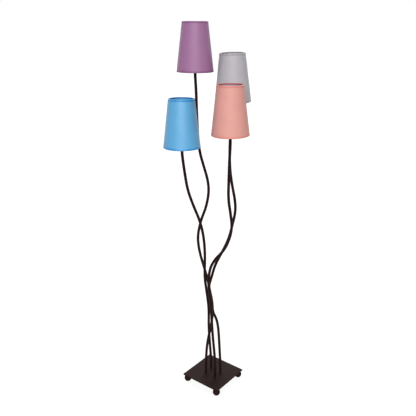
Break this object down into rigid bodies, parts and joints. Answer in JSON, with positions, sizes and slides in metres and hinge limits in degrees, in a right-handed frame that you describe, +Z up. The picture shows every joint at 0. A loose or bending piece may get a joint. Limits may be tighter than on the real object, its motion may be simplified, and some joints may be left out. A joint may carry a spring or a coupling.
{
  "type": "tree floor lamp",
  "caption": "Free-standing floor lamp whose bent steel stems wind round each other from a square plate on ball feet, each with a cone fabric shade over a candle bulb.",
  "frame": {"origin": "middle of the base on the floor", "axes": "+Z up, X and Y along the sides of the base plate; the picture looks at the corner between +X and -Y, turned 38 degrees from +Y"},
  "size_m": [0.361, 0.369, 1.6006],
  "materials": {
    "dark_enamel": "satin",
    "pad_rubber": "matte",
    "zinc_steel": "zinc plated",
    "cast_iron": "primed",
    "cover_sheet": "satin",
    "natural_nylon": "natural",
    "brass": "bright",
    "black_nylon": "moulded",
    "lead_sheath": "satin",
    "holder_plastic": "moulded",
    "white_wire": "powder coat",
    "shade_lining": "frosted sheet that takes the tint of the cloth outside it",
    "cloth_purple": "plain weave",
    "cloth_blue": "plain weave",
    "cloth_coral": "plain weave",
    "cloth_grey": "plain weave",
    "bulb_cap": "nickel plated",
    "bulb_glass": "opal"
  },
  "bodies": {
    "base": {"base_plate": "dark_enamel", "ball_feet": "dark_enamel", "foot_pads": "pad_rubber", "foot_studs": "zinc_steel", "counterweight": "cast_iron", "weight_screws": "zinc_steel", "bottom_cover": "cover_sheet", "cover_screws": "zinc_steel", "stem_washers": "zinc_steel", "stem_nuts": "zinc_steel", "terminal_block": "natural_nylon", "terminal_clamps": "brass", "terminal_screws": "zinc_steel", "cable_gland": "black_nylon", "gland_nut": "black_nylon", "stem_purple": "dark_enamel", "lead_purple": "lead_sheath", "holder_cap_purple": "holder_plastic", "holder_body_purple": "holder_plastic", "contacts_purple": "brass", "stem_blue": "dark_enamel", "lead_blue": "lead_sheath", "holder_cap_blue": "holder_plastic", "holder_body_blue": "holder_plastic", "contacts_blue": "brass", "stem_coral": "dark_enamel", "lead_coral": "lead_sheath", "holder_cap_coral": "holder_plastic", "holder_body_coral": "holder_plastic", "contacts_coral": "brass", "stem_grey": "dark_enamel", "lead_grey": "lead_sheath", "holder_cap_grey": "holder_plastic", "holder_body_grey": "holder_plastic", "contacts_grey": "brass"},
    "shade_purple": {"shade_frame_purple": "white_wire", "shade_lining_purple": "shade_lining", "shade_cover_purple": "cloth_purple"},
    "ring_purple": {"shade_ring_purple": "holder_plastic"},
    "bulb_purple": {"bulb_cap_purple": "bulb_cap", "bulb_glass_purple": "bulb_glass"},
    "shade_blue": {"shade_frame_blue": "white_wire", "shade_lining_blue": "shade_lining", "shade_cover_blue": "cloth_blue"},
    "ring_blue": {"shade_ring_blue": "holder_plastic"},
    "bulb_blue": {"bulb_cap_blue": "bulb_cap", "bulb_glass_blue": "bulb_glass"},
    "shade_coral": {"shade_frame_coral": "white_wire", "shade_lining_coral": "shade_lining", "shade_cover_coral": "cloth_coral"},
    "ring_coral": {"shade_ring_coral": "holder_plastic"},
    "bulb_coral": {"bulb_cap_coral": "bulb_cap", "bulb_glass_coral": "bulb_glass"},
    "shade_grey": {"shade_frame_grey": "white_wire", "shade_lining_grey": "shade_lining", "shade_cover_grey": "cloth_grey"},
    "ring_grey": {"shade_ring_grey": "holder_plastic"},
    "bulb_grey": {"bulb_cap_grey": "bulb_cap", "bulb_glass_grey": "bulb_glass"}
  },
  "joints": [
    {"name": "shade_turn_purple", "type": "hinge", "parent": "base", "child": "shade_purple", "pos_m": [-0.10833, 0.01498, 1.40701], "axis": [-0.0035, 0.0105, 0.9999], "continuous": true},
    {"name": "ring_turn_purple", "type": "hinge", "parent": "base", "child": "ring_purple", "pos_m": [-0.10833, 0.01498, 1.40701], "axis": [-0.0035, 0.0105, 0.9999], "range_deg": [0, 360]},
    {"name": "bulb_turn_purple", "type": "hinge", "parent": "base", "child": "bulb_purple", "pos_m": [-0.10833, 0.01498, 1.40701], "axis": [-0.0035, 0.0105, 0.9999], "range_deg": [0, 360]},
    {"name": "shade_turn_blue", "type": "hinge", "parent": "base", "child": "shade_blue", "pos_m": [-0.07465, -0.11136, 1.12402], "axis": [-0.007, 0.0122, 0.9999], "continuous": true},
    {"name": "ring_turn_blue", "type": "hinge", "parent": "base", "child": "ring_blue", "pos_m": [-0.07465, -0.11136, 1.12402], "axis": [-0.007, 0.0122, 0.9999], "range_deg": [0, 360]},
    {"name": "bulb_turn_blue", "type": "hinge", "parent": "base", "child": "bulb_blue", "pos_m": [-0.07465, -0.11136, 1.12402], "axis": [-0.007, 0.0122, 0.9999], "range_deg": [0, 360]},
    {"name": "shade_turn_coral", "type": "hinge", "parent": "base", "child": "shade_coral", "pos_m": [0.10268, -0.02931, 1.18203], "axis": [-0.0087, -0.014, 0.9999], "continuous": true},
    {"name": "ring_turn_coral", "type": "hinge", "parent": "base", "child": "ring_coral", "pos_m": [0.10268, -0.02931, 1.18203], "axis": [-0.0087, -0.014, 0.9999], "range_deg": [0, 360]},
    {"name": "bulb_turn_coral", "type": "hinge", "parent": "base", "child": "bulb_coral", "pos_m": [0.10268, -0.02931, 1.18203], "axis": [-0.0087, -0.014, 0.9999], "range_deg": [0, 360]},
    {"name": "shade_turn_grey", "type": "hinge", "parent": "base", "child": "shade_grey", "pos_m": [0.01401, 0.10773, 1.28912], "axis": [-0.0052, -0.0349, 0.9994], "continuous": true},
    {"name": "ring_turn_grey", "type": "hinge", "parent": "base", "child": "ring_grey", "pos_m": [0.01401, 0.10773, 1.28912], "axis": [-0.0052, -0.0349, 0.9994], "range_deg": [0, 360]},
    {"name": "bulb_turn_grey", "type": "hinge", "parent": "base", "child": "bulb_grey", "pos_m": [0.01401, 0.10773, 1.28912], "axis": [-0.0052, -0.0349, 0.9994], "range_deg": [0, 360]}
  ]
}
